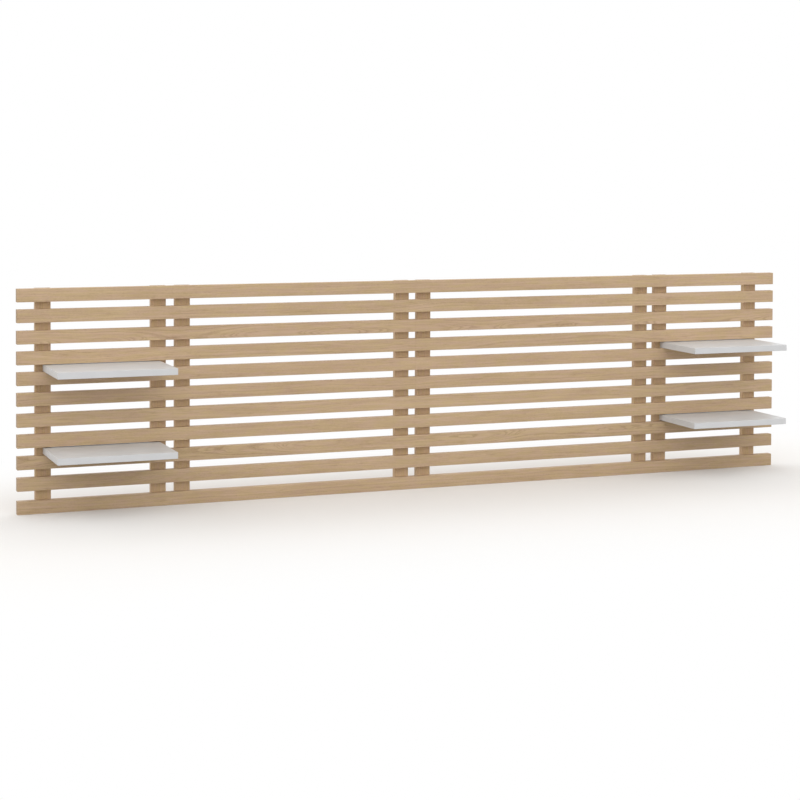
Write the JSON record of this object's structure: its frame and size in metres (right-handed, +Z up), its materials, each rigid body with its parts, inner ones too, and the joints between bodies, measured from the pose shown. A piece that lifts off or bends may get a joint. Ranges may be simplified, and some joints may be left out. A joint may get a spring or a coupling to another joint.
{
  "type": "headboard",
  "caption": "Wide slatted wooden headboard: level slats in four panels on upright battens, with two white shelves through the slats at each end.",
  "frame": {"origin": "middle of the width and of the whole depth, shelves to battens, at the bottom edge", "axes": "+X along the headboard to its right end seen from the front, +Y towards the wall, +Z up"},
  "size_m": [2.8, 0.268, 0.7197],
  "materials": {
    "slat_wood": "pale, matt, fine grain along each slat",
    "batten_wood": "pale, matt, grain upright",
    "shelf_lacquer": "satin off-white lacquer on board",
    "zinc_steel": "bright zinc plating"
  },
  "bodies": {
    "root": {"left_side_slat_01": "slat_wood", "left_side_slat_02": "slat_wood", "left_side_slat_03": "slat_wood", "left_side_slat_04": "slat_wood", "left_side_slat_05": "slat_wood", "left_side_slat_06": "slat_wood", "left_side_slat_07": "slat_wood", "left_side_slat_08": "slat_wood", "left_side_slat_09": "slat_wood", "left_side_slat_10": "slat_wood", "left_side_slat_11": "slat_wood", "left_side_left_batten": "batten_wood", "left_side_right_batten": "batten_wood", "left_centre_slat_01": "slat_wood", "left_centre_slat_02": "slat_wood", "left_centre_slat_03": "slat_wood", "left_centre_slat_04": "slat_wood", "left_centre_slat_05": "slat_wood", "left_centre_slat_06": "slat_wood", "left_centre_slat_07": "slat_wood", "left_centre_slat_08": "slat_wood", "left_centre_slat_09": "slat_wood", "left_centre_slat_10": "slat_wood", "left_centre_slat_11": "slat_wood", "left_centre_left_batten": "batten_wood", "left_centre_right_batten": "batten_wood", "right_centre_slat_01": "slat_wood", "right_centre_slat_02": "slat_wood", "right_centre_slat_03": "slat_wood", "right_centre_slat_04": "slat_wood", "right_centre_slat_05": "slat_wood", "right_centre_slat_06": "slat_wood", "right_centre_slat_07": "slat_wood", "right_centre_slat_08": "slat_wood", "right_centre_slat_09": "slat_wood", "right_centre_slat_10": "slat_wood", "right_centre_slat_11": "slat_wood", "right_centre_left_batten": "batten_wood", "right_centre_right_batten": "batten_wood", "right_side_slat_01": "slat_wood", "right_side_slat_02": "slat_wood", "right_side_slat_03": "slat_wood", "right_side_slat_04": "slat_wood", "right_side_slat_05": "slat_wood", "right_side_slat_06": "slat_wood", "right_side_slat_07": "slat_wood", "right_side_slat_08": "slat_wood", "right_side_slat_09": "slat_wood", "right_side_slat_10": "slat_wood", "right_side_slat_11": "slat_wood", "right_side_left_batten": "batten_wood", "right_side_right_batten": "batten_wood", "left_side_upper_shelf": "shelf_lacquer", "left_side_lower_shelf": "shelf_lacquer", "right_side_upper_shelf": "shelf_lacquer", "right_side_lower_shelf": "shelf_lacquer", "joining_plates": "zinc_steel", "wall_hangers": "zinc_steel", "shelf_supports": "zinc_steel", "wood_screws": "zinc_steel"}
  },
  "joints": []
}
